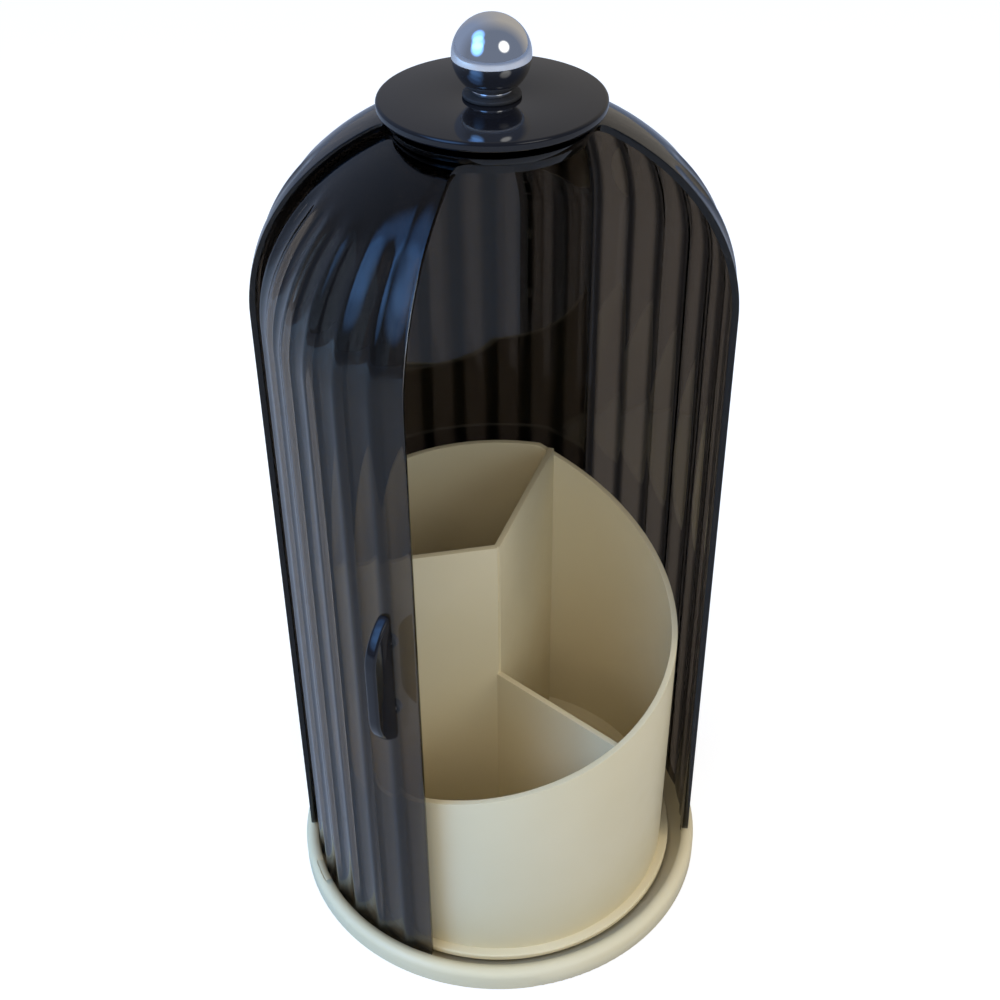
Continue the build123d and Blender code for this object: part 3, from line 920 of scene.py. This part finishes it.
def cup_wall():
    """Outer skin whose upper band is cut away along the climbing rim, then walled inwards."""
    middle = 0.5 * (CUP_FOOT + CUP_TOP)
    rings = [(cup_radius_at(height), height) for height in (CUP_FOOT, middle, CUP_TOP)]
    piece = lathe("divided_cup", rings, CUP_STEPS)
    step = 360 / CUP_STEPS
    meet = next(k * step for k in range(CUP_STEPS) if rim_height(k * step) > CUP_TOP - RIM_MEETING)
    mid_verts = {}
    for vertex in piece.data.vertices:
        if abs(vertex.co.z - middle) < NEAR:
            mid_verts[round(angle_of(vertex.co) / step) % CUP_STEPS] = vertex.index
    bpy.ops.object.mode_set(mode="EDIT")
    for column, number in mid_verts.items():
        turn = rim_turn(column * step)
        if turn <= meet - step / 2:
            height = rim_height(turn)
        elif turn <= meet + step / 2:
            height = CUP_TOP
        else:
            height = CUP_TOP - (CUP_TOP - rim_height(RIM_START)) * (turn - meet) / (RIM_START + 360 - meet)
        lift_verts(piece, [number], height - middle, cup_radius_at(height) / cup_radius_at(middle), height)

    def in_cut_band(centre, normal):
        turn = rim_turn(angle_of(centre))
        return turn < meet and centre.z > rim_height(turn) + NEAR

    select_faces(piece, in_cut_band)
    bpy.ops.mesh.delete(type="FACE")
    bpy.ops.mesh.select_mode(type="VERT")
    bpy.ops.mesh.select_all(action="SELECT")
    bpy.ops.mesh.remove_doubles(threshold=MERGE_COARSE)
    close_mesh()
    thicken(piece, CUP_WALL, -1)
    return piece


def cup_floor():
    """Floor disc with a fillet up to the wall."""
    radius = CUP_FOOT_RADIUS - CUP_WALL / 2
    fillet = [(radius - inwards * MM, CUP_FLOOR_TOP + rise * MM) for inwards, rise in FLOOR_FILLET]
    return lathe("cup_floor", [(radius, CUP_FLOOR_BOTTOM)] + fillet, CUP_STEPS, fill=True)


def divider(angle, tops):
    """Upright plate from the axis to the wall, its top height set at the axis and at its end."""
    reach = CUP_FOOT_RADIUS - CUP_WALL * DIVIDER_END
    deselect()
    bpy.ops.mesh.primitive_cube_add(size=1)
    plate = bpy.context.object
    plate.scale = (DIVIDER_WALL, reach, 1)
    plate.location = (0, -reach / 2, 0.5)
    piece = begin("divider")
    mesh = bmesh.from_edit_mesh(piece.data)
    for vertex in mesh.verts:
        top = tops[0] if vertex.co.y > -reach / 2 else tops[1]
        vertex.co.z = top if vertex.co.z > 0.5 else CUP_FLOOR_BOTTOM + DIVIDER_BITE
    bmesh.update_edit_mesh(piece.data)
    turn_selected(angle)
    bpy.ops.object.mode_set(mode="OBJECT")
    return piece


def drop_doubled_top(piece):
    """The tall dividers' tops lie on each other at the axis: keep one face of the doubled one."""
    open_mesh(piece)
    bpy.ops.mesh.remove_doubles(threshold=CUP_MERGE)
    bpy.ops.mesh.dissolve_degenerate(threshold=CUP_LEAST_EDGE)
    bpy.ops.mesh.select_mode(type="FACE")
    bpy.ops.mesh.select_all(action="DESELECT")
    mesh = bmesh.from_edit_mesh(piece.data)
    for face in mesh.faces:
        face.select = all(len(edge.link_faces) > 2 for edge in face.edges)
    bmesh.update_edit_mesh(piece.data)
    bpy.ops.mesh.delete(type="ONLY_FACE")
    bpy.ops.mesh.select_mode(type="VERT")
    bpy.ops.mesh.select_all(action="SELECT")
    bpy.ops.mesh.fill_holes(sides=4)
    close_mesh()


cup = cup_wall()
unite(cup, [cup_floor()] + [divider(angle, tops) for angle, tops in DIVIDERS])
drop_doubled_top(cup)
round_edges(cup, CUP_ROUND, 3, 50)
smooth(cup, 40)
dress(cup, "cup_body", "cream_plastic", CREAM, "cup")


# Cap, gasket, collar and ball

def flat_ring(name, box, steps, rounding, segments):
    """Flat round piece as large as a box, with a hole for the screw and rounded edges."""
    low, high = box
    stations = [(PIN_HOLE, low[2]), (high[0], low[2]), (high[0], high[2]), (PIN_HOLE, high[2])]
    piece = lathe(name, stations, steps, closed=True)
    round_edges(piece, rounding, segments)
    smooth(piece)
    return piece


def make_ball():
    """Ball cut flat where it sits on its collar, with the screw's socket in it."""
    deselect()
    radius = knob_high[0]
    centre = knob_high[2] - radius
    bpy.ops.mesh.primitive_uv_sphere_add(
        segments=128, ring_count=80, radius=radius, location=(0, 0, centre))
    piece = begin("ball_top")
    bpy.ops.mesh.bisect(
        plane_co=(0, 0, knob_low[2]), plane_no=(0, 0, 1), use_fill=True, clear_inner=True, threshold=TOUCH)
    seat_radius = math.sqrt(radius**2 - (centre - knob_low[2])**2)
    select_faces(piece, lambda place, normal: abs(place.z - knob_low[2]) < NEAR and normal.z < LOOKS_DOWN)
    bpy.ops.mesh.inset(thickness=seat_radius - PIN_HOLE, depth=0)
    bpy.ops.mesh.extrude_region_move(TRANSFORM_OT_translate={"value": (0, 0, SOCKET_DEPTH)})
    bpy.ops.mesh.select_mode(type="VERT")
    bpy.ops.object.mode_set(mode="OBJECT")
    round_edges(piece, BALL_ROUND, 2, 40)
    smooth(piece, 35)
    return piece


cap = flat_ring("crown_cap", cap_box, 256, CAP_ROUND, 5)
dress(cap, "base", "black_gloss", BLACK, "cap_disc")
gasket = flat_ring("cap_gasket", gasket_box, 128, GASKET_ROUND, 4)
dress(gasket, "base", "gasket_rubber", GASKET, "knob_gasket")
collar = flat_ring("ball_collar", collar_box, 128, COLLAR_ROUND, 4)
dress(collar, "base", "ball_chrome", CHROME, "knob_collar")
ball = make_ball()
dress(ball, "base", "ball_chrome", CHROME, "ball_knob")


# Handle

def handle_outline():
    """Points of the fin's outline, out from its root and up from its middle."""
    half = HANDLE_LENGTH / 2
    reach = DOOR_RADIUS + HANDLE_REACH - HANDLE_ROOT
    rise = half - HANDLE_NOSE
    radius = (reach**2 + rise**2) / (2 * reach)
    sweep = math.asin(min(1.0, rise / radius))
    turns = [sweep * k / HANDLE_PARTS for k in range(HANDLE_PARTS + 1)]
    lower = [(reach - radius * (1 - math.cos(sweep - turn)), -HANDLE_NOSE - radius * math.sin(sweep - turn))
             for turn in turns]
    upper = [(reach - radius * (1 - math.cos(turn)), HANDLE_NOSE + radius * math.sin(turn))
             for turn in turns]
    return [(0.0, -half)] + lower + upper + [(0.0, half)]


def make_handle():
    """Thin upright fin: its outline drawn point by point, thickened and rounded."""
    deselect()
    bpy.ops.mesh.primitive_plane_add(size=1 * MM)
    piece = begin("door_grip")
    bpy.ops.mesh.merge(type="CENTER")
    start = Vector((0, -HANDLE_ROOT, HANDLE_HEIGHT))
    spots = [start + Vector((-HANDLE_THICKNESS / 2, -out, up)) for out, up in handle_outline()]
    bpy.ops.transform.translate(value=spots[0])
    for before, after in zip(spots, spots[1:]):
        bpy.ops.mesh.extrude_region_move(TRANSFORM_OT_translate={"value": after - before})
    bpy.ops.mesh.select_all(action="SELECT")
    bpy.ops.mesh.remove_doubles(threshold=MERGE_COARSE)
    bpy.ops.mesh.edge_face_add()
    bpy.ops.mesh.extrude_region_move(TRANSFORM_OT_translate={"value": (HANDLE_THICKNESS, 0, 0)})
    bpy.ops.mesh.select_all(action="SELECT")
    bpy.ops.mesh.normals_make_consistent(inside=False)
    turn_selected(HANDLE_ANGLE)
    bpy.ops.object.mode_set(mode="OBJECT")
    round_edges(piece, HANDLE_ROUND, 5, 50)
    smooth(piece, 40)
    return piece


handle = make_handle()
dress(handle, "door", "black_gloss", BLACK, "door_handle")


# Floor, light and camera

def seen_share(tree, straight, mirrored):
    """Number for rays that see the white background straight or through a shell, or mirrored."""
    rays = tree.nodes.new("ShaderNodeLightPath")
    seen = tree.nodes.new("ShaderNodeMath")
    seen.operation = "MAXIMUM"
    tree.links.new(rays.outputs["Is Camera Ray"], seen.inputs[0])
    tree.links.new(rays.outputs["Is Transmission Ray"], seen.inputs[1])
    lift = tree.nodes.new("ShaderNodeMath")
    lift.operation = "MULTIPLY"
    lift.inputs[1].default_value = straight
    tree.links.new(seen.outputs[0], lift.inputs[0])
    total = tree.nodes.new("ShaderNodeMath")
    total.operation = "MULTIPLY_ADD"
    total.inputs[1].default_value = mirrored
    tree.links.new(rays.outputs["Is Glossy Ray"], total.inputs[0])
    tree.links.new(lift.outputs[0], total.inputs[2])
    return total.outputs[0]


def white_floor():
    """Pale floor that shows the object's shadow."""
    deselect()
    bpy.ops.mesh.primitive_plane_add(size=FLOOR_SIZE)
    floor = bpy.context.object
    floor.name = "floor"
    material, tree, shader, place = new_material("floor_white", (0.5, 0.5, 0.5), 0.9)
    tones = two_tones(tree, noise(tree, place, 2, 2), (0.495, 0.495, 0.495), (0.505, 0.505, 0.505))
    tree.links.new(tones, shader.inputs["Base Color"])
    shader.inputs["Specular IOR Level"].default_value = 0.0
    shader.inputs["Emission Color"].default_value = (1, 1, 1, 1)
    tree.links.new(seen_share(tree, FLOOR_LIFT, FLOOR_MIRRORED), shader.inputs["Emission Strength"])
    floor.data.materials.append(material)


def mix_colours(tree, factor, first, second):
    """Mix of two colours, each given as three numbers or as what another node puts out."""
    mix = tree.nodes.new("ShaderNodeMix")
    mix.data_type = "RGBA"
    tree.links.new(factor, mix.inputs["Factor"])
    sockets = [socket for socket in mix.inputs if socket.enabled and socket.name in ("A", "B")]
    for colour, socket in zip((first, second), sockets):
        if isinstance(colour, tuple):
            socket.default_value = (*colour, 1)
        else:
            tree.links.new(colour, socket)
    return next(socket for socket in mix.outputs if socket.enabled)


def glow(tree, place, angle, rise, width, colour):
    """Soft-edged patch of light in one direction of the surround."""
    toward = tree.nodes.new("ShaderNodeVectorMath")
    toward.operation = "DOT_PRODUCT"
    up = math.radians(rise)
    toward.inputs[1].default_value = polar(angle, math.cos(up), math.sin(up))
    tree.links.new(place.outputs["Generated"], toward.inputs[0])
    outside, inside = math.cos(math.radians(width)), math.cos(math.radians(width * PATCH_CORE))
    edge = spread(tree, toward.outputs["Value"], 0, 1, outside, inside)
    edge.node.interpolation_type = "SMOOTHSTEP"
    light = tree.nodes.new("ShaderNodeVectorMath")
    light.operation = "SCALE"
    light.inputs[0].default_value = colour
    tree.links.new(edge, light.inputs["Scale"])
    return light.outputs["Vector"]


def studio_world():
    """Soft surround with a tall blue window and a white patch, plain white where it is seen straight."""
    world = bpy.data.worlds.new("studio")
    bpy.context.scene.world = world
    world.use_nodes = True
    tree = world.node_tree
    soft = tree.nodes["Background"]
    soft.inputs["Strength"].default_value = 1.0
    place = tree.nodes.new("ShaderNodeTexCoord")
    parts = tree.nodes.new("ShaderNodeSeparateXYZ")
    tree.links.new(place.outputs["Generated"], parts.inputs["Vector"])
    sides = two_tones(tree, spread(tree, parts.outputs["X"], 0, 1, -1, 1), LEFT_LIGHT, RIGHT_LIGHT)
    behind = spread(tree, parts.outputs["Y"], 0, 1, BEHIND_START, BEHIND_FULL)
    light = mix_colours(tree, behind, FRONT_LIGHT, sides)
    for patch in PATCHES:
        total = tree.nodes.new("ShaderNodeVectorMath")
        total.operation = "ADD"
        tree.links.new(light, total.inputs[0])
        tree.links.new(glow(tree, place, *patch), total.inputs[1])
        light = total.outputs["Vector"]
    backdrop = mix_colours(tree, seen_share(tree, 1.0, FLOOR_MIRRORED), light, (1, 1, 1))
    tree.links.new(backdrop, soft.inputs["Color"])


def soft_box(name, angle, distance, height, width, tall, watts, colour):
    """Large soft lamp that faces the middle of the object and isn't mirrored in it."""
    data = bpy.data.lights.new(name, "AREA")
    data.shape = "RECTANGLE"
    data.size = width
    data.size_y = tall
    data.energy = watts
    data.color = colour
    lamp = bpy.data.objects.new(name, data)
    lamp.visible_glossy = False
    lamp.location = polar(angle, distance, height)
    aim = LAMP_AIM - lamp.location
    lamp.rotation_euler = aim.to_track_quat("-Z", "Y").to_euler()
    bpy.context.collection.objects.link(lamp)


def place_camera():
    """Camera at the photo's place and angle."""
    down, yaw, roll = (math.radians(value) for value in (CAMERA_DOWN, CAMERA_YAW, CAMERA_ROLL))
    forward = Vector((math.sin(yaw) * math.cos(down), math.cos(yaw) * math.cos(down), -math.sin(down)))
    right = Vector((math.cos(yaw), -math.sin(yaw), 0))
    above = right.cross(forward)
    across = right * math.cos(roll) + above * math.sin(roll)
    upward = above * math.cos(roll) - right * math.sin(roll)
    basis = Matrix((across, upward, -forward)).transposed().to_4x4()
    data = bpy.data.cameras.new("camera")
    data.lens = CAMERA_LENS
    data.sensor_width = CAMERA_SENSOR
    data.clip_start = CAMERA_NEAR
    camera = bpy.data.objects.new("camera", data)
    camera.matrix_world = (
        Matrix.Rotation(math.radians(OBJECT_TURN), 4, "Z") @ Matrix.Translation(CAMERA_PLACE) @ basis)
    bpy.context.collection.objects.link(camera)
    bpy.context.scene.camera = camera


white_floor()
studio_world()
for lamp in LAMPS:
    soft_box(*lamp)
place_camera()
bpy.context.scene.view_settings.view_transform = "Standard"
deselect()
